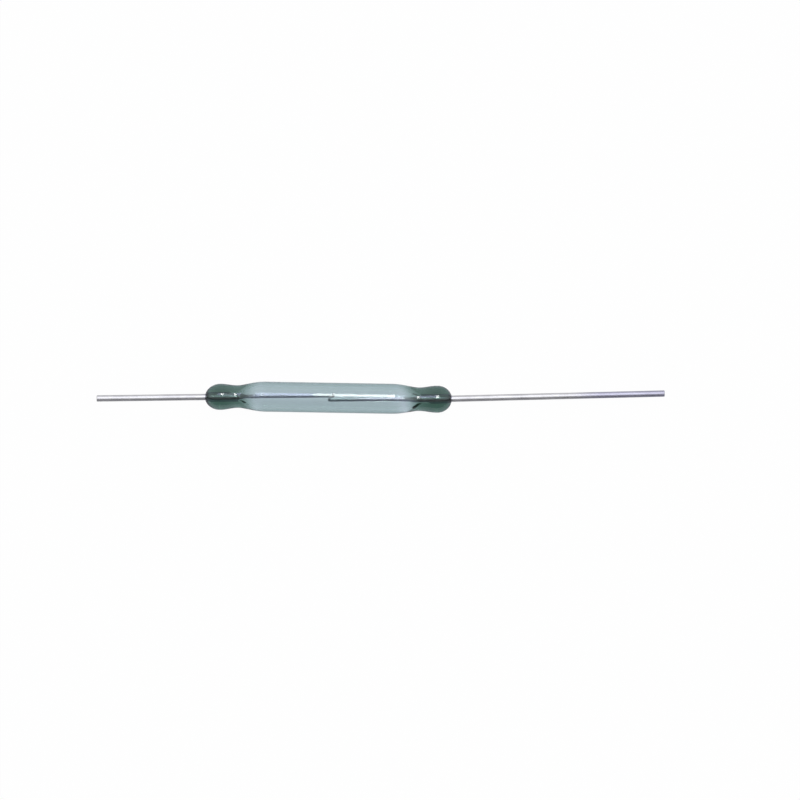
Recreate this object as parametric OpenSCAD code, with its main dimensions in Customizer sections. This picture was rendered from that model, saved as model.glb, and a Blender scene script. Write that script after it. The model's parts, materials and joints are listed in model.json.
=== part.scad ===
// Glass reed switch: two nickel-iron reeds sealed into the ends of a glass tube, with their
// flat tips overlapping across a small gap that a magnetic field closes.
// The tube lies along X with its middle at the origin, and the blades flex along Y.
// Lengths are in millimetres and angles in degrees.

/* [Glass] */
// Length of the glass, over both beads
glass_len = 21; // [19.5:0.05:24]
// Outer diameter of the tube
tube_d = 2.55; // [2.4:0.01:3]
// Wall of the tube
tube_wall = 0.3; // [0.24:0.01:0.4]
// Diameter of the left bead, where the tube is melted onto its lead
left_bead_d = 2.22; // [2:0.01:2.4]
// Diameter of the right bead
right_bead_d = 2.29; // [2:0.01:2.4]
// Distance of each bead's crown from its end of the glass
bead_at = 1.3; // [1.1:0.05:1.6]
// Diameter of the left neck, between its bead and the tube
left_neck_d = 1.92; // [1.7:0.01:2.2]
// Diameter of the right neck
right_neck_d = 2; // [1.7:0.01:2.2]
// Distance of each neck from its end of the glass
neck_at = 2.8; // [2.5:0.05:3.2]
// Distance from each end of the glass to the full diameter of the tube
shoulder_at = 5.2; // [4.7:0.05:6]
// Length of solid glass round each lead
seal_len = 2.75; // [2.4:0.05:3]
// Length over which each end of the cavity widens from the wire to the bore
flare_len = 2.1; // [1.6:0.05:2.6]

/* [Reeds] */
// Diameter of the round reed wire
wire_d = 0.53; // [0.45:0.01:0.6]
// Thickness that the wire is pressed to, for the blade
blade_t = 0.2; // [0.16:0.01:0.24]
// Round wire left inside the cavity, before the pressing starts
round_len = 0.4; // [0.2:0.05:0.6]
// Length of the pressed shoulder, from round wire to flat blade
press_len = 1.1; // [0.8:0.05:1.6]
// Rise of the rounded end of each blade
tip_rise = 0.2; // [0.1:0.01:0.4]
// Length of the left lead outside the glass
left_lead_len = 9.2; // [4:0.1:30]
// Length of the right lead outside the glass
right_lead_len = 18.1; // [4:0.1:30]
// Bevel on the cut end of each lead
lead_bevel = 0.05; // [0.02:0.01:0.1]
// Lean of the left reed in the tube
left_lean = 1.6; // [1:0.05:2.2]
// Lean of the right reed in the tube
right_lean = 1.5; // [1:0.05:2.2]
// Bend of the left lead where it leaves the glass
left_bend = 0.15; // [0:0.05:1.5]
// Bend of the right lead where it leaves the glass
right_bend = 0.9; // [0:0.05:1.5]

/* [Contact] */
// Length over which the two blades overlap
overlap = 0.55; // [0.4:0.05:1.5]
// Open gap between the two blades
gap = 0.16; // [0.06:0.01:0.2]
// Distance of the overlap from the middle of the glass
contact_at = 0.25; // [0:0.05:1]

/* [Hidden] */

LEFT = -1;
RIGHT = 1;

// Smoothness of round faces, and the steps in each computed curve and in a blade's round edge
$fn = 96;
curve_steps = 16;
edge_steps = 8;

// How far the rise from a narrow place to the tube is drawn towards that place: 1 is an even rise
rise_pull = 0.8;

glass_tint = [0.55, 0.66, 0.63, 0.45];
lead_colour = [0.82, 0.82, 0.85];
blade_colour = [0.74, 0.76, 0.8];

tube_r = tube_d / 2;
bore_r = tube_r - tube_wall;
wire_r = wire_d / 2;

// Half the thickness and half the width of a blade: pressing keeps the area of the wire's section
blade_half_t = blade_t / 2;
blade_half_w = blade_half_t + PI * (pow(wire_r, 2) - pow(blade_half_t, 2)) / (2 * blade_t);

// Half height of the thinning slope where it is clear of the wire, and half width of the spread
thin_from = wire_d - blade_half_t;
spread_to = blade_half_w + blade_half_t;

// Radius of the arc that ends each blade, from side to side
tip_r = (pow(blade_half_w, 2) + pow(tip_rise, 2)) / (2 * tip_rise);

function of_side(side, left, right) = side == LEFT ? left : right;
function bead_r(side) = of_side(side, left_bead_d, right_bead_d) / 2;
function neck_r(side) = of_side(side, left_neck_d, right_neck_d) / 2;
function lean(side) = of_side(side, left_lean, right_lean);
function bend(side) = of_side(side, left_bend, right_bend);
function lead_len(side) = of_side(side, left_lead_len, right_lead_len);

// A smooth step from 0 to 1
function ease(t) = (1 - cos(180 * t)) / 2;

// Places along a reed, in its own frame: the middle of the overlap is 0 and the tip is positive
tip_x = overlap / 2;
function glass_end_x(side) = -(glass_len / 2 - side * contact_at) / cos(lean(side));
function lead_end_x(side) = glass_end_x(side) - lead_len(side);
function press_x(side) = glass_end_x(side) + seal_len + round_len;
function root_x(side) = press_x(side) + press_len;

// Places children in a reed's own frame, where X runs along the reed to its tip
module reed_frame(side) {
    translate([contact_at, -side * (blade_half_t + gap / 2), 0])
        rotate([0, 0, lean(side) + of_side(side, 0, 180)])
            children();
}

// Turns children about the place where a reed leaves the glass
module turned(side, angle) {
    translate([glass_end_x(side), 0, 0])
        rotate([0, 0, angle])
            translate([-glass_end_x(side), 0, 0])
                children();
}

// Outline of one end of the glass as [radius, distance from that end]: bead, neck and shoulder
function glass_end(side) = concat(
    [for (i = [0:curve_steps]) let (a = 90 * i / curve_steps)
        [bead_r(side) * sin(a), bead_at * (1 - cos(a))]],
    [for (i = [1:curve_steps]) let (t = i / curve_steps)
        [bead_r(side) + (neck_r(side) - bead_r(side)) * ease(t),
         bead_at + (neck_at - bead_at) * t]],
    [for (i = [1:curve_steps]) let (t = i / curve_steps)
        [neck_r(side) + (tube_r - neck_r(side)) * ease(pow(t, rise_pull)),
         neck_at + (shoulder_at - neck_at) * t]]
);

// Outline of one end of the cavity, which flares from the wire to the bore of the tube
cavity_end = concat(
    [[0, seal_len]],
    [for (i = [0:curve_steps]) let (t = i / curve_steps)
        [wire_r + (bore_r - wire_r) * ease(pow(t, rise_pull)), seal_len + flare_len * t]]
);

// Revolves two end outlines about X, the first at the left end and the second at the right
module revolve_ends(left, right) {
    rotate([0, 90, 0])
        rotate_extrude()
            polygon(concat(
                [for (p = left) [p[0], p[1] - glass_len / 2]],
                [for (i = [len(right) - 1:-1:0]) [right[i][0], glass_len / 2 - right[i][1]]]
            ));
}

// Round bar along a reed, from one place to another
module round_bar(from_x, to_x) {
    translate([from_x, 0, 0])
        rotate([0, 90, 0])
            cylinder(h = to_x - from_x, r = wire_r);
}

// Block that cuts a reed at its bend, along the plane that halves the angle
module mitre_block(side, from_x) {
    turned(side, bend(side) / 2)
        translate([from_x, -wire_d, -wire_d])
            cube(2 * wire_d);
}

// Round wire of a lead outside the glass, bevelled at its end and mitred at the bend
module outer_wire(side) {
    turned(side, bend(side))
        translate([lead_end_x(side), 0, 0])
            rotate([0, 90, 0])
                cylinder(h = lead_bevel, r1 = wire_r - lead_bevel, r2 = wire_r);
    difference() {
        turned(side, bend(side))
            round_bar(lead_end_x(side) + lead_bevel, glass_end_x(side) + wire_d);
        mitre_block(side, glass_end_x(side));
    }
}

// Round wire of a lead from the bend into the cavity
module inner_wire(side) {
    difference() {
        round_bar(glass_end_x(side) - wire_d, root_x(side) + press_len);
        mitre_block(side, glass_end_x(side) - 2 * wire_d);
    }
}

// Section of a blade as [across, through], with flat faces and round edges
blade_section = [for (edge = [1, -1], i = [0:edge_steps]) let (a = 180 * i / edge_steps - 90)
    edge * [blade_half_w - blade_half_t + blade_half_t * cos(a), blade_half_t * sin(a)]];

// Bar with a blade's section along a reed, from one place to another
module flat_bar(from_x, to_x) {
    translate([from_x, 0, 0])
        rotate([0, 90, 0])
            linear_extrude(to_x - from_x)
                polygon(blade_section);
}

// Side view of a lead: clear of the round wire at first, then sloped down to the blade's thickness
module thinning(side) {
    linear_extrude(2 * wire_d, center = true)
        polygon([
            [glass_end_x(side) - 2 * wire_d, -thin_from],
            [press_x(side) - press_len, -thin_from],
            [root_x(side), -blade_half_t],
            [root_x(side), blade_half_t],
            [press_x(side) - press_len, thin_from],
            [glass_end_x(side) - 2 * wire_d, thin_from]
        ]);
}

// Top view of the shoulder, which starts inside the round wire and spreads past the blade's width
module spreading(side) {
    rotate([90, 0, 0])
        linear_extrude(wire_d, center = true)
            polygon([
                [press_x(side), -blade_half_t],
                [root_x(side), -spread_to],
                [root_x(side), spread_to],
                [press_x(side), blade_half_t]
            ]);
}

// Top view of a blade: wider than the blade up to its tip, which is an arc
module tip_view(side) {
    rotate([90, 0, 0])
        linear_extrude(wire_d, center = true) {
            translate([root_x(side), -tip_r])
                square([tip_x - tip_r - root_x(side), 2 * tip_r]);
            translate([tip_x - tip_r, 0])
                circle(tip_r);
        }
}

module glass_envelope() {
    color(glass_tint)
        difference() {
            revolve_ends(glass_end(LEFT), glass_end(RIGHT));
            revolve_ends(cavity_end, cavity_end);
            for (side = [LEFT, RIGHT])
                reed_frame(side)
                    round_bar(glass_end_x(side) - bead_r(side), press_x(side));
        }
}

module lead(side) {
    color(lead_colour)
        reed_frame(side) {
            outer_wire(side);
            intersection() {
                inner_wire(side);
                thinning(side);
            }
            intersection() {
                flat_bar(press_x(side) - press_len, root_x(side) + press_len);
                spreading(side);
            }
        }
}

module blade(side) {
    color(blade_colour)
        reed_frame(side)
            intersection() {
                flat_bar(root_x(side), tip_x);
                tip_view(side);
            }
}

module left_lead() { lead(LEFT); }
module left_blade() { blade(LEFT); }
module right_lead() { lead(RIGHT); }
module right_blade() { blade(RIGHT); }

glass_envelope();
left_lead();
left_blade();
right_lead();
right_blade();
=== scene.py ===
"""Looks of the glass reed switch: smooth glass, drawn leads and plated blades, in a plain white studio."""

import json
import math

import bpy
from mathutils import Matrix, Vector


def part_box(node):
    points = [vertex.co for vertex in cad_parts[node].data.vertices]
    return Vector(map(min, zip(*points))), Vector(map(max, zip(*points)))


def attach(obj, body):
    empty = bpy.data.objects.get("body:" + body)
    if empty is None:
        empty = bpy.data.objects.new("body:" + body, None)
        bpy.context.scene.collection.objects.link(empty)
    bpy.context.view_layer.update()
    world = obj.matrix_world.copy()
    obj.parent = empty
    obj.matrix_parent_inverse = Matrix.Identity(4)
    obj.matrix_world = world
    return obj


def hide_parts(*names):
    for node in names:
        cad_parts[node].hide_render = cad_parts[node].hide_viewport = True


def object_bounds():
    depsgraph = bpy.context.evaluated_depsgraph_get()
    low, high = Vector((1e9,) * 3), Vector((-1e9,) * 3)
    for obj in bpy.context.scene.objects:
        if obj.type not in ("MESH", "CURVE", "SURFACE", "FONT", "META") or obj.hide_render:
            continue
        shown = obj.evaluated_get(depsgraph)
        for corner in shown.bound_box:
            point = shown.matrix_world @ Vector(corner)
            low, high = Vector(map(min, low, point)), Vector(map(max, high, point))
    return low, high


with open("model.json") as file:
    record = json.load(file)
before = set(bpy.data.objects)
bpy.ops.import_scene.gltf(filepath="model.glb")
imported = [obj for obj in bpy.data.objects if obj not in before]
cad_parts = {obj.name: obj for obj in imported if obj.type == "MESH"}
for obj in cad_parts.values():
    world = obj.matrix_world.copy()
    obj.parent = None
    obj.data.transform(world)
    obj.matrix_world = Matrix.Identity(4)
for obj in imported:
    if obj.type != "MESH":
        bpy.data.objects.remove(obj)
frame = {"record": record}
cad_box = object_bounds()
MM = 0.001
SIDES = ("left", "right")

# ---------------------------------------------------------------- sizes, repeated from the part, in metres
HALF_LEN = 10.5 * MM
BEAD_R = {"left": 1.11 * MM, "right": 1.145 * MM}
NECK_R = {"left": 0.96 * MM, "right": 1.0 * MM}
BEAD_AT, NECK_AT, SHOULDER_AT, RISE_PULL = 1.3 * MM, 2.8 * MM, 5.2 * MM, 0.8
SEAL_LEN, FLARE_LEN, WALL = 2.75 * MM, 2.1 * MM, 0.3 * MM
ROUND_LEN, PRESS_LEN = 0.4 * MM, 1.1 * MM
BLADE_T, TIP_RISE, LEAD_BEVEL = 0.2 * MM, 0.2 * MM, 0.05 * MM
OVERLAP, GAP, CONTACT_AT = 0.55 * MM, 0.16 * MM, 0.25 * MM
LEAN = {"left": math.radians(1.6), "right": math.radians(1.5)}

TUBE_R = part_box("glass_envelope")[1].z
BORE_R = TUBE_R - WALL
mounts = {m["name"]: m for m in frame["record"]["mounts"]}
WIRE_R = mounts["left_lead_wire"]["dims"]["r_mm"] * MM
LEAD_LEN = {s: mounts[s + "_lead_wire"]["dims"]["length_mm"] * MM for s in SIDES}
OUTWARD = {s: Vector(mounts[s + "_lead_wire"]["axis"]) for s in SIDES}
SIGN = {"left": -1, "right": 1}
HALF_T = BLADE_T / 2
# Half width of a blade, which has the area of the round wire
FULL_HALF_W = HALF_T + math.pi * (WIRE_R ** 2 - HALF_T ** 2) / (4 * HALF_T)

# ---------------------------------------------------------------- forms that the looks add to the part
# How far the melted ends have drawn over to the lead that they grip, and where that starts to fade,
# from the end of the glass
DRAWN_OVER = {"left": 0.95, "right": 0.5}
DRAWN_FROM = NECK_AT * 0.6
# The glass grips the wire: its bore runs just under the metal's skin, and rings narrower than GRIPPED_R
# draw further over, all the way at the wire
GRIP = 0.97
GRIPPED_R = 2 * WIRE_R
# How much later than in the part the cavity's flare starts and ends, on the far side and on the near side
UNEVEN = {"left": {"far": (-0.2 * MM, 0.05 * MM), "near": (0.0, -0.2 * MM)},
          "right": {"far": (-0.25 * MM, 0.0), "near": (-0.35 * MM, -0.6 * MM)}}
# Length of the flat crown of each bead, and the share of the rise over which the neck stays round
CROWN_FLAT = {"left": 0.0, "right": 0.1 * MM}
NECK_ROUND = 0.2
# Where the pressed shoulder starts, from the end of the glass, and the length over which it thins: it
# spreads more slowly, up to the root
SHOULDER_FROM, SHOULDER_LEN = 2.75 * MM, 0.85 * MM
# Half width at which the arc of a tip ends, and what its broken edge takes off half the thickness and half
# the width
TIP_END_W = 1.3 * HALF_T
TIP_EDGE_T, TIP_EDGE_W = 0.04 * MM, 0.08 * MM
# Rings of the broken edge: the share of the way out to the tip, and the share of the edge taken off
TIP_EDGE_RINGS = ((0.35, 0.05), (0.7, 0.18), (0.95, 0.42))
# Room at the root of a blade, in which it turns clear of its lead
ROOT_ROOM = 0.002 * MM

# Squareness of a round section and of a blade's section
ROUND, SQUARE = 2.0, 12.0
# Points round a metal section and round the glass
SECTION_STEPS, GLASS_STEPS = 72, 144
# Rings along a lead's bevel, its wire and its shoulder, and along a blade and its tip
BEVEL_STEPS, WIRE_STEPS, PRESS_STEPS, BLADE_STEPS, TIP_STEPS = 4, 60, 36, 40, 18
# Rings along each curve of an end of the glass, its bore, its flare and the straight tube
END_STEPS, BORE_STEPS, FLARE_STEPS, TUBE_STEPS = 28, 12, 32, 24
# Angle between faces above which their edge is sharp
SHARP_ANGLE = math.radians(40)


def ease(t):
    return (1 - math.cos(math.pi * t)) / 2


def smooth(t):
    t = min(max(t, 0), 1)
    return t * t * (3 - 2 * t)


# ---------------------------------------------------------------- meshes
def mesh_of_rings(name, rings, closed):
    """A tube of quads through rings of equal counts: joined end to end, or with a face over each end."""
    n = len(rings[0])
    verts = [p for ring in rings for p in ring]
    faces = []
    for i in range(len(rings) if closed else len(rings) - 1):
        a, b = i * n, (i + 1) % len(rings) * n
        for j in range(n):
            k = (j + 1) % n
            faces.append((a + j, a + k, b + k, b + j))
    if not closed:
        last = (len(rings) - 1) * n
        faces.append(tuple(range(n - 1, -1, -1)))
        faces.append(tuple(range(last, last + n)))
    mesh = bpy.data.meshes.new(name)
    mesh.from_pydata([tuple(v) for v in verts], [], faces)
    mesh.validate()
    mesh.shade_smooth()
    mesh.set_sharp_from_angle(angle=SHARP_ANGLE)
    obj = bpy.data.objects.new(name, mesh)
    bpy.context.scene.collection.objects.link(obj)
    return obj


# ---------------------------------------------------------------- reeds
def reed_frame(side):
    """Matrix of a reed's own frame: the middle of the overlap is its origin and X runs to its tip."""
    place = Vector((CONTACT_AT, -SIGN[side] * (HALF_T + GAP / 2), 0))
    turn = LEAN[side] + (math.pi if side == "right" else 0)
    return Matrix.Translation(place) @ Matrix.Rotation(turn, 4, "Z")


REED = {s: reed_frame(s) for s in SIDES}


def reed_places(side):
    """Places along a reed: lead end, glass end, root of the blade and tip."""
    glass_end = -(HALF_LEN - SIGN[side] * CONTACT_AT) / math.cos(LEAN[side])
    root = glass_end + SEAL_LEN + ROUND_LEN + PRESS_LEN
    return glass_end - LEAD_LEN[side], glass_end, root, OVERLAP / 2


def section(x, half_t, half_w, square=ROUND):
    """Points round a section at a place along the reed: the squarer it is, the flatter its faces."""
    points = []
    for i in range(SECTION_STEPS):
        a = 2 * math.pi * (i + 0.5) / SECTION_STEPS
        c, n = math.cos(a), math.sin(a)
        y = half_t * math.copysign(abs(c) ** (ROUND / square), c)
        z = half_w * math.copysign(abs(n) ** (ROUND / square), n)
        points.append(Vector((x, y, z)))
    return points


def lead_rings(side):
    """A lead's rings: bevelled end, round wire, and the shoulder pressed down to the blade."""
    lead_end, glass_end, root, _ = reed_places(side)
    rings = [section(lead_end, WIRE_R - LEAD_BEVEL, WIRE_R - LEAD_BEVEL)]
    for i in range(1, BEVEL_STEPS + 1):
        a = math.pi / 2 * i / BEVEL_STEPS
        r = WIRE_R - LEAD_BEVEL * (1 - math.sin(a))
        rings.append(section(lead_end + LEAD_BEVEL * (1 - math.cos(a)), r, r))
    shoulder = glass_end + SHOULDER_FROM
    for i in range(1, WIRE_STEPS + 1):
        x = lead_end + LEAD_BEVEL + (shoulder - lead_end - LEAD_BEVEL) * i / WIRE_STEPS
        rings.append(section(x, WIRE_R, WIRE_R))
    for i in range(1, PRESS_STEPS + 1):
        x = shoulder + (root - shoulder) * i / PRESS_STEPS
        pressed = ease(min((x - shoulder) / SHOULDER_LEN, 1))
        half_t = WIRE_R + (HALF_T - WIRE_R) * pressed
        half_w = WIRE_R + (FULL_HALF_W - WIRE_R) * ease(i / PRESS_STEPS)
        rings.append(section(x, half_t, half_w, ROUND + (SQUARE - ROUND) * pressed))
    return rings


def blade_rings(side):
    """A blade's rings: flat, then narrowing round the arc of its tip, with a broken edge."""
    _, _, root, tip = reed_places(side)
    first_x, last_x = root + ROOT_ROOM, tip - TIP_RISE
    tip_r = (FULL_HALF_W ** 2 + TIP_RISE ** 2) / (2 * TIP_RISE)
    rings = []
    for i in range(BLADE_STEPS + 1):
        rings.append(section(first_x + (last_x - first_x) * i / BLADE_STEPS, HALF_T, FULL_HALF_W, SQUARE))
    first, last = math.asin(FULL_HALF_W / tip_r), math.asin(TIP_END_W / tip_r)
    for i in range(1, TIP_STEPS + 1):
        a = first + (last - first) * i / TIP_STEPS
        x = tip - tip_r + tip_r * math.cos(a)
        rings.append(section(x, HALF_T, tip_r * math.sin(a), SQUARE))
    end = rings[-1][0].x
    for out, off in TIP_EDGE_RINGS:
        x = end + (tip - end) * out
        rings.append(section(x, HALF_T - TIP_EDGE_T * off, TIP_END_W - TIP_EDGE_W * off, SQUARE))
    return rings


def bend_at_glass(side):
    """Matrix, in a reed's own frame, that turns the lead outside the glass to where its mount points."""
    outward = REED[side].to_3x3().inverted() @ OUTWARD[side]
    out = Matrix.Translation((reed_places(side)[1], 0, 0))
    return out @ Matrix.Rotation(math.atan2(-outward.y, -outward.x), 4, "Z") @ out.inverted()


def make_reed_part(side, kind, rings):
    """A lead or a blade, bent where it leaves the glass and placed in the part."""
    glass_end, bend = reed_places(side)[1], bend_at_glass(side)
    bent = [[bend @ p if p.x < glass_end else p for p in ring] for ring in rings]
    placed = [[REED[side] @ p for p in ring] for ring in bent]
    obj = mesh_of_rings("%s_%s_metal" % (side, kind), placed, closed=False)
    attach(obj, "envelope" if kind == "lead" else side + "_reed")
    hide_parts("%s_%s" % (side, kind))
    return obj


# ---------------------------------------------------------------- glass
def reed_y(x):
    """Where the lead nearest to x stands across the tube."""
    m = REED["left" if x < 0 else "right"]
    along = m.to_3x3() @ Vector((1, 0, 0))
    return m.translation.y + (x - m.translation.x) * along.y / along.x


def drawn(x):
    """How much of the way to the lead the glass has drawn over, at x."""
    inward = HALF_LEN - abs(x)
    return 1 - smooth((inward - DRAWN_FROM) / (SHOULDER_AT - DRAWN_FROM))


def glass_ring(x, r, share, far=0.0, near=0.0):
    """A ring of the glass, drawn over to the lead, with its far and near sides shifted along X."""
    y = reed_y(x) * drawn(x) * share
    ring = []
    for i in range(GLASS_STEPS):
        a = 2 * math.pi * i / GLASS_STEPS
        c = math.cos(a)
        ring.append(Vector((x + far * (1 + c) / 2 + near * (1 - c) / 2, y + r * c, r * math.sin(a))))
    return ring


def first_angle(side):
    """Angle along a bead's curve at which the glass meets the wire."""
    return math.asin(WIRE_R * GRIP / BEAD_R[side])


def bead_rise(side, a):
    """Distance from the end of the glass to an angle along a bead's curve."""
    return (BEAD_AT - CROWN_FLAT[side]) * (1 - math.cos(a))


def outer_end(side):
    """The outside of one end as (distance from the end, radius), from the wire to the tube."""
    bead, neck = BEAD_R[side], NECK_R[side]
    first = first_angle(side)
    points = []
    for i in range(END_STEPS + 1):
        a = first + (math.pi / 2 - first) * i / END_STEPS
        points.append((bead_rise(side, a), bead * math.sin(a)))
    for i in range(1, END_STEPS + 1):
        t = i / END_STEPS
        points.append((BEAD_AT + (NECK_AT - BEAD_AT) * t, bead + (neck - bead) * ease(t)))
    for i in range(1, END_STEPS + 1):
        t = i / END_STEPS
        pull = 1 + (RISE_PULL - 1) * smooth(t / NECK_ROUND)
        points.append((NECK_AT + (SHOULDER_AT - NECK_AT) * t, neck + (TUBE_R - neck) * ease(t ** pull)))
    return points


def inner_end(side):
    """The inside of one end as (x, radius, far shift, near shift), from the bore of the wire to the tube."""
    inward = -SIGN[side]
    far, near = UNEVEN[side]["far"], UNEVEN[side]["near"]

    def point(distance, r, first, last):
        """A point with a share of the shifts at the start of the flare and of those at its end."""
        return (-inward * (HALF_LEN - distance), r,
                inward * (first * far[0] + last * far[1]), inward * (first * near[0] + last * near[1]))

    start = bead_rise(side, first_angle(side))
    grip_r = WIRE_R * GRIP
    points = []
    for i in range(1, BORE_STEPS):
        t = i / BORE_STEPS
        points.append(point(start + (SEAL_LEN - start) * t, grip_r, t, 0))
    for i in range(FLARE_STEPS + 1):
        t = i / FLARE_STEPS
        r = grip_r + (BORE_R - grip_r) * ease(t ** RISE_PULL)
        points.append(point(SEAL_LEN + FLARE_LEN * t, r, 1 - t, t))
    return points


def between(first_x, last_x):
    """Places along the straight tube, between its ends."""
    return [first_x + (last_x - first_x) * i / TUBE_STEPS for i in range(1, TUBE_STEPS)]


def make_glass():
    """The envelope: rings along its outside to the right, and back along its inside to the left."""
    rings = []
    outside = [(-HALF_LEN + d, r) for d, r in outer_end("left")]
    right = [(HALF_LEN - d, r) for d, r in reversed(outer_end("right"))]
    straight = [(x, TUBE_R) for x in between(outside[-1][0], right[0][0])]
    for x, r in outside + straight + right:
        over = DRAWN_OVER["left" if x < 0 else "right"]
        rings.append(glass_ring(x, r, over + (1 - over) * smooth((GRIPPED_R - r) / WIRE_R)))
    inside = inner_end("right")
    left = inner_end("left")[::-1]
    straight = [(x, BORE_R, 0, 0) for x in between(inside[-1][0], left[0][0])]
    for x, r, far, near in inside + straight + left:
        rings.append(glass_ring(x, r, 1, far, near))
    obj = mesh_of_rings("glass_envelope_melted", rings, closed=True)
    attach(obj, "envelope")
    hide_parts("glass_envelope")
    return obj


# ---------------------------------------------------------------- nodes
# The part of a noise's range that is used, and the part of it over which one tone turns into the other
NOISE_LOW, NOISE_HIGH = 0.3, 0.7
TONE_FROM, TONE_TO = 0.35, 0.65
# Depth and strength of the lines that drawing and rolling leave in the metals
LINE_DEPTH, LINE_STRENGTH = 0.003 * MM, 0.4


def new_material(name):
    mat = bpy.data.materials.new(name)
    mat.use_nodes = True
    nodes, links = mat.node_tree.nodes, mat.node_tree.links
    shader = nodes["Principled BSDF"]
    return mat, nodes, links, shader


def calculate(nodes, links, operation, *values):
    """The result of one math operation on outputs and constants."""
    node = nodes.new("ShaderNodeMath")
    node.operation = operation
    for socket, value in zip(node.inputs, values):
        if isinstance(value, bpy.types.NodeSocket):
            links.new(value, socket)
        else:
            socket.default_value = value
    return node.outputs["Value"]


def split_xyz(nodes, links, vector):
    split = nodes.new("ShaderNodeSeparateXYZ")
    links.new(vector, split.inputs["Vector"])
    return split.outputs


def stretched_noise(nodes, links, scale, detail):
    """Noise in the part's own coordinates, with its own scale per metre along X, Y and Z."""
    coords = nodes.new("ShaderNodeTexCoord")
    mapping = nodes.new("ShaderNodeMapping")
    mapping.inputs["Scale"].default_value = scale
    noise = nodes.new("ShaderNodeTexNoise")
    noise.inputs["Scale"].default_value = 1.0
    noise.inputs["Detail"].default_value = detail
    links.new(coords.outputs["Object"], mapping.inputs["Vector"])
    links.new(mapping.outputs["Vector"], noise.inputs["Vector"])
    return coords.outputs["Object"], noise.outputs["Fac"]


def spread(nodes, links, value, low, high, from_low=NOISE_LOW, from_high=NOISE_HIGH):
    """Maps a value, such as a noise, from one range to another."""
    node = nodes.new("ShaderNodeMapRange")
    node.inputs["From Min"].default_value = from_low
    node.inputs["From Max"].default_value = from_high
    node.inputs["To Min"].default_value = low
    node.inputs["To Max"].default_value = high
    links.new(value, node.inputs["Value"])
    return node.outputs["Result"]


def two_tone(nodes, links, value, dark, light):
    ramp = nodes.new("ShaderNodeValToRGB")
    ramp.color_ramp.elements[0].position = TONE_FROM
    ramp.color_ramp.elements[0].color = (*dark, 1)
    ramp.color_ramp.elements[1].position = TONE_TO
    ramp.color_ramp.elements[1].color = (*light, 1)
    links.new(value, ramp.inputs["Fac"])
    return ramp.outputs["Color"]


def blend_colour(nodes, links, share, first, second):
    mix = nodes.new("ShaderNodeMix")
    mix.data_type = "RGBA"
    links.new(share, mix.inputs["Factor"])
    links.new(first, mix.inputs["A"])
    links.new(second, mix.inputs["B"])
    return mix.outputs["Result"]


def fine_lines(nodes, links, shader, value):
    node = nodes.new("ShaderNodeBump")
    node.inputs["Strength"].default_value = LINE_STRENGTH
    node.inputs["Distance"].default_value = LINE_DEPTH
    links.new(value, node.inputs["Height"])
    links.new(node.outputs["Normal"], shader.inputs["Normal"])


# ---------------------------------------------------------------- materials
# Index of refraction, absorption per metre and the colour that is left, red being absorbed the most
GLASS_IOR, GLASS_DENSITY, GLASS_TINT = 1.5, 1400, (0.036, 0.266, 0.136, 1)
GLASS_ROUGH = (0.0, 0.02)
GLASS_NOISE = ((300, 900, 900), 3.0)


def glass_material():
    mat, nodes, links, shader = new_material("infrared_green_glass")
    shader.inputs["Base Color"].default_value = (1, 1, 1, 1)
    shader.inputs["Transmission Weight"].default_value = 1.0
    shader.inputs["IOR"].default_value = GLASS_IOR
    _, noise = stretched_noise(nodes, links, *GLASS_NOISE)
    links.new(spread(nodes, links, noise, *GLASS_ROUGH), shader.inputs["Roughness"])
    absorb = nodes.new("ShaderNodeVolumeAbsorption")
    absorb.inputs["Color"].default_value = GLASS_TINT
    absorb.inputs["Density"].default_value = GLASS_DENSITY
    links.new(absorb.outputs["Volume"], nodes["Material Output"].inputs["Volume"])
    return mat


# What the metals throw back at a glancing angle: the left blade's is set lighter than the right blade's, as
# painted light on its dark face
EDGE_ON_WITH_PAINTED_LIGHT = {"lead": (0.26, 0.28, 0.33, 1), "left": (0.5, 0.53, 0.62, 1), "right": (0.31, 0.33, 0.39, 1)}
# Scale and detail of the lines along a lead and a blade, and of the patches in their tones
LEAD_LINES, LEAD_PATCHES = ((500, 16000, 16000), 4.0), ((1200, 2500, 2500), 2.0)
BLADE_LINES, BLADE_PATCHES = ((900, 14000, 14000), 4.0), ((1500, 2500, 2500), 2.0)
# Darker and lighter tones of bright tin, of the darker, bluer tin painted on as shade towards the right
# lead's end, and of the bare wire in the seal
TIN = ((0.65, 0.64, 0.62), (0.75, 0.74, 0.71))
PAINTED_SHADE_TIN = ((0.47, 0.46, 0.53), (0.54, 0.53, 0.6))
BARE = ((0.51, 0.5, 0.57), (0.59, 0.58, 0.65))
# Half the length over which the tin ends, and the wire's surface changes at the seal
TIN_FADE = 0.08 * MM
# Roughness of the tin, of the bare wire in the seal, and of the pressed metal in the cavity
TIN_ROUGH, BARE_ROUGH, PRESSED_ROUGH = 0.57, 0.36, 0.35
# Where the right lead's tin turns to painted shade, darker and bluer, towards its end
PAINTED_SHADE_FROM, PAINTED_SHADE_TO = 20.5 * MM, 23.0 * MM


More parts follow.
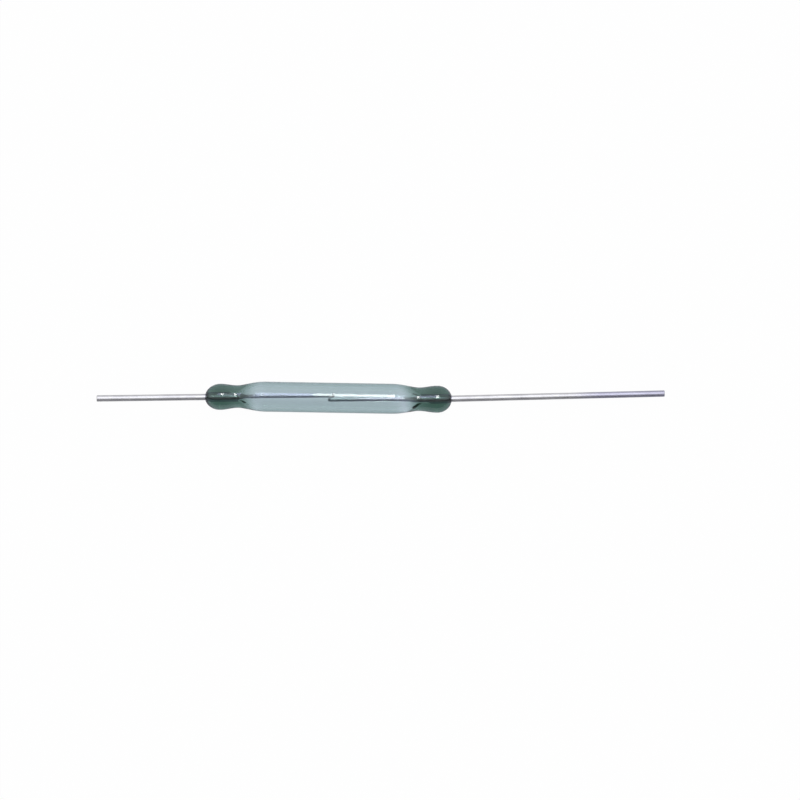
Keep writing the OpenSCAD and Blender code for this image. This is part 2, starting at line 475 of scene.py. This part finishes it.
def lead_material():
    """Bright tin outside the glass, darkened and blued at the long end as painted shade, and bare wire
    inside, where tin doesn't reach.
    """
    mat, nodes, links, shader = new_material("tinned_wire")
    shader.inputs["Metallic"].default_value = 1.0
    shader.inputs["Specular Tint"].default_value = EDGE_ON_WITH_PAINTED_LIGHT["lead"]
    coords, lines = stretched_noise(nodes, links, *LEAD_LINES)
    _, patches = stretched_noise(nodes, links, *LEAD_PATCHES)
    tin, painted_shade_tin, bare = (two_tone(nodes, links, patches, *tones) for tones in (TIN, PAINTED_SHADE_TIN, BARE))
    x = split_xyz(nodes, links, coords)["X"]
    out = calculate(nodes, links, "ABSOLUTE", x)
    tinned = spread(nodes, links, out, 0.0, 1.0, HALF_LEN - TIN_FADE, HALF_LEN + TIN_FADE)
    # Painted shade: the tin turns darker and bluer towards the right lead's end, where the lamp's highlight
    # leaves it
    painted_shade_share = spread(nodes, links, x, 0.0, 1.0, PAINTED_SHADE_FROM, PAINTED_SHADE_TO)
    outside = blend_colour(nodes, links, painted_shade_share, tin, painted_shade_tin)
    links.new(blend_colour(nodes, links, tinned, bare, outside), shader.inputs["Base Color"])
    cavity = HALF_LEN - SEAL_LEN
    rough = calculate(nodes, links, "ADD",
                      spread(nodes, links, tinned, BARE_ROUGH, TIN_ROUGH, 0.0, 1.0),
                      spread(nodes, links, out, PRESSED_ROUGH - BARE_ROUGH, 0.0,
                             cavity - TIN_FADE, cavity + TIN_FADE))
    links.new(rough, shader.inputs["Roughness"])
    fine_lines(nodes, links, shader, lines)
    return mat


# Length of each blade's plating, to the middle of the stretch over which it fades, and half that stretch
PLATED_LEN = {"left": 1.85 * MM, "right": 2.7 * MM}
PLATED_FADE = {"left": 0.12 * MM, "right": 1.0 * MM}
# How far the plating's edge runs along the blade for each step across it
PLATED_SLANT = 0.25
# Darker and lighter tones of each blade's alloy, both darkened as painted shade and the left blade's the
# most, and of the plating
PAINTED_SHADE_ALLOY = {"left": ((0.22, 0.22, 0.27), (0.27, 0.27, 0.33)),
         "right": ((0.36, 0.34, 0.41), (0.43, 0.4, 0.48))}
PLATE = ((0.2, 0.23, 0.25), (0.26, 0.29, 0.31))
BLADE_ROUGH = (0.3, 0.4)


def blade_material(side):
    """Rolled nickel-iron with a cool tint, darkened as painted shade, more on the left blade than the right,
    and a greyer plated zone at the contact end.
    """
    mat, nodes, links, shader = new_material("%s_blade_alloy" % side)
    shader.inputs["Metallic"].default_value = 1.0
    # Painted light: the left blade's glancing tint is lighter than the right's, though both are one metal
    shader.inputs["Specular Tint"].default_value = EDGE_ON_WITH_PAINTED_LIGHT[side]
    coords, lines = stretched_noise(nodes, links, *BLADE_LINES)
    _, patches = stretched_noise(nodes, links, *BLADE_PATCHES)
    # The alloy's tones carry painted shade: the left blade's are set darker than the right's, though both
    # are one metal
    painted_shade_alloy, plate = (two_tone(nodes, links, patches, *tones) for tones in (PAINTED_SHADE_ALLOY[side], PLATE))
    # The plating ends at a slanting line
    place = split_xyz(nodes, links, coords)
    slanting = calculate(nodes, links, "MULTIPLY_ADD", place["Z"], PLATED_SLANT, place["X"])
    tip_x = CONTACT_AT - SIGN[side] * OVERLAP / 2
    edge, fade = tip_x + SIGN[side] * PLATED_LEN[side], SIGN[side] * PLATED_FADE[side]
    plated = spread(nodes, links, slanting, 0.0, 1.0, edge + fade, edge - fade)
    links.new(blend_colour(nodes, links, plated, painted_shade_alloy, plate), shader.inputs["Base Color"])
    links.new(spread(nodes, links, patches, *BLADE_ROUGH), shader.inputs["Roughness"])
    fine_lines(nodes, links, shader, lines)
    return mat


# ---------------------------------------------------------------- the part
lead_metal = lead_material()
for side in SIDES:
    make_reed_part(side, "lead", lead_rings(side)).data.materials.append(lead_metal)
    make_reed_part(side, "blade", blade_rings(side)).data.materials.append(blade_material(side))
make_glass().data.materials.append(glass_material())


# ---------------------------------------------------------------- studio
FLOOR_SIZE = 6.0
PAPER = (0.55, 0.55, 0.55, 1)
# How much of the floor glows, for each kind of ray that shows it: the rest is paper
FLOOR_GLOW = {"Is Camera Ray": 0.985, "Is Glossy Ray": 0.1, "Is Transmission Ray": 0.92}
# Colour of the floor in itself, and its cooler colour through the glass and in reflections
FLOOR_WHITE, FLOOR_COOL = (1, 1, 1, 1), (0.965, 1.0, 1.22, 1)


def seen_directly(nodes, links, path, shares):
    """A share for each kind of ray that shows a surface, and 0 on the rays that only light one."""
    value = 0.0
    for output, share in shares.items():
        seen = calculate(nodes, links, "MULTIPLY", path.outputs[output], share)
        value = calculate(nodes, links, "MAXIMUM", value, seen)
    return value


def make_floor():
    """White paper under the part that glows where it is seen, so that it stays even and white."""
    mesh = bpy.data.meshes.new("floor")
    h = FLOOR_SIZE / 2
    z = cad_box[0][2]
    mesh.from_pydata([(-h, -h, z), (h, -h, z), (h, h, z), (-h, h, z)], [], [(0, 1, 2, 3)])
    obj = bpy.data.objects.new("floor", mesh)
    bpy.context.scene.collection.objects.link(obj)
    mat, nodes, links, shader = new_material("white_floor")
    nodes.remove(shader)
    paper = nodes.new("ShaderNodeBsdfDiffuse")
    paper.inputs["Color"].default_value = PAPER
    glow = nodes.new("ShaderNodeEmission")
    path = nodes.new("ShaderNodeLightPath")
    tint = nodes.new("ShaderNodeMix")
    tint.data_type = "RGBA"
    tint.inputs["A"].default_value = FLOOR_COOL
    tint.inputs["B"].default_value = FLOOR_WHITE
    links.new(path.outputs["Is Camera Ray"], tint.inputs["Factor"])
    links.new(tint.outputs["Result"], glow.inputs["Color"])
    mix = nodes.new("ShaderNodeMixShader")
    links.new(seen_directly(nodes, links, path, FLOOR_GLOW), mix.inputs["Fac"])
    links.new(paper.outputs["BSDF"], mix.inputs[1])
    links.new(glow.outputs["Emission"], mix.inputs[2])
    links.new(mix.outputs["Shader"], nodes["Material Output"].inputs["Surface"])
    mesh.materials.append(mat)


make_floor()

# Brightness of the sky from the near horizon (0) over the zenith (0.5) to the far one (1), and its tint
SKY = ((0.0, 0.02), (0.3, 0.03), (0.38, 0.8), (0.8, 0.85), (1.0, 0.75))
SKY_TINT = (0.97, 0.98, 1.05)


def make_world():
    """White sky that greys towards the far horizon and darkens low on the near side."""
    world = bpy.data.worlds.new("studio")
    bpy.context.scene.world = world
    world.use_nodes = True
    nodes, links = world.node_tree.nodes, world.node_tree.links
    coords = nodes.new("ShaderNodeTexCoord")
    way = split_xyz(nodes, links, coords.outputs["Generated"])
    # The angle round X, as a share of the half turn from the near horizon to the far one
    near = calculate(nodes, links, "MULTIPLY", way["Y"], -1)
    angle = calculate(nodes, links, "ARCTAN2", way["Z"], near)
    turn = calculate(nodes, links, "DIVIDE", angle, math.pi)
    ramp = nodes.new("ShaderNodeValToRGB")
    elements = ramp.color_ramp.elements
    for at, _ in SKY[1:-1]:
        elements.new(at)
    for element, (at, level) in zip(elements, SKY):
        element.position = at
        element.color = (*(level * part for part in SKY_TINT), 1)
    links.new(turn, ramp.inputs["Fac"])
    links.new(ramp.outputs["Color"], nodes["Background"].inputs["Color"])


make_world()

# Soft boxes overhead, with dimmer and bluer light on both sides of them, as from windows: the start and end
# of each along X, in metres, its radiance and its colour
BOXES = {"lamp": (-0.011, 0.008, 9.5, (1, 1, 1)),
         "bright_lamp": (0.008, 0.055, 20.0, (1, 1, 1)),
         "left_window": (-0.17, -0.011, 4.5, (0.62, 0.64, 1.0)),
         "right_window": (0.055, 0.17, 2.6, (0.75, 0.85, 1.0))}
BOX_DEPTH, BOX_AWAY, BOX_LEAN = 0.17, 0.5, math.radians(15.5)


def soft_box(name, from_x, to_x, radiance, colour):
    """A panel of even light that faces the part, between two places along X."""
    lamp = bpy.data.lights.new(name, "AREA")
    lamp.shape = "RECTANGLE"
    lamp.size, lamp.size_y = to_x - from_x, BOX_DEPTH
    lamp.energy = radiance * math.pi * lamp.size * lamp.size_y
    lamp.color = colour
    obj = bpy.data.objects.new(name, lamp)
    obj.location = ((from_x + to_x) / 2, BOX_AWAY * math.sin(BOX_LEAN), BOX_AWAY * math.cos(BOX_LEAN))
    obj.rotation_euler = (-BOX_LEAN, 0, 0)
    bpy.context.scene.collection.objects.link(obj)


for name, values in BOXES.items():
    soft_box(name, *values)

# ---------------------------------------------------------------- camera
ELEVATION, SLOPE = math.radians(83.0), math.radians(0.97)
VIEW_WIDTH, LENS, SENSOR, CLIP_START = 68.04 * MM, 200.0, 36.0, 0.01
AIM_ALONG, AIM_BELOW = 6.09 * MM, 0.093 * MM
back = Vector((0, -math.cos(ELEVATION), math.sin(ELEVATION)))
rise = Vector((0, math.sin(ELEVATION), math.cos(ELEVATION)))
across = Vector((1, 0, 0))
right = across * math.cos(SLOPE) + rise * math.sin(SLOPE)
up = rise * math.cos(SLOPE) - across * math.sin(SLOPE)
place = across * AIM_ALONG - rise * AIM_BELOW + back * (VIEW_WIDTH * LENS / SENSOR)
camera = bpy.data.cameras.new("camera")
camera.lens = LENS
camera.sensor_width = SENSOR
camera.clip_start = CLIP_START
camera_object = bpy.data.objects.new("camera", camera)
camera_object.matrix_world = Matrix((
    (right.x, up.x, back.x, place.x),
    (right.y, up.y, back.y, place.y),
    (right.z, up.z, back.z, place.z),
    (0, 0, 0, 1)))
bpy.context.scene.collection.objects.link(camera_object)
bpy.context.scene.camera = camera_object
bpy.context.scene.view_settings.view_transform = "Standard"
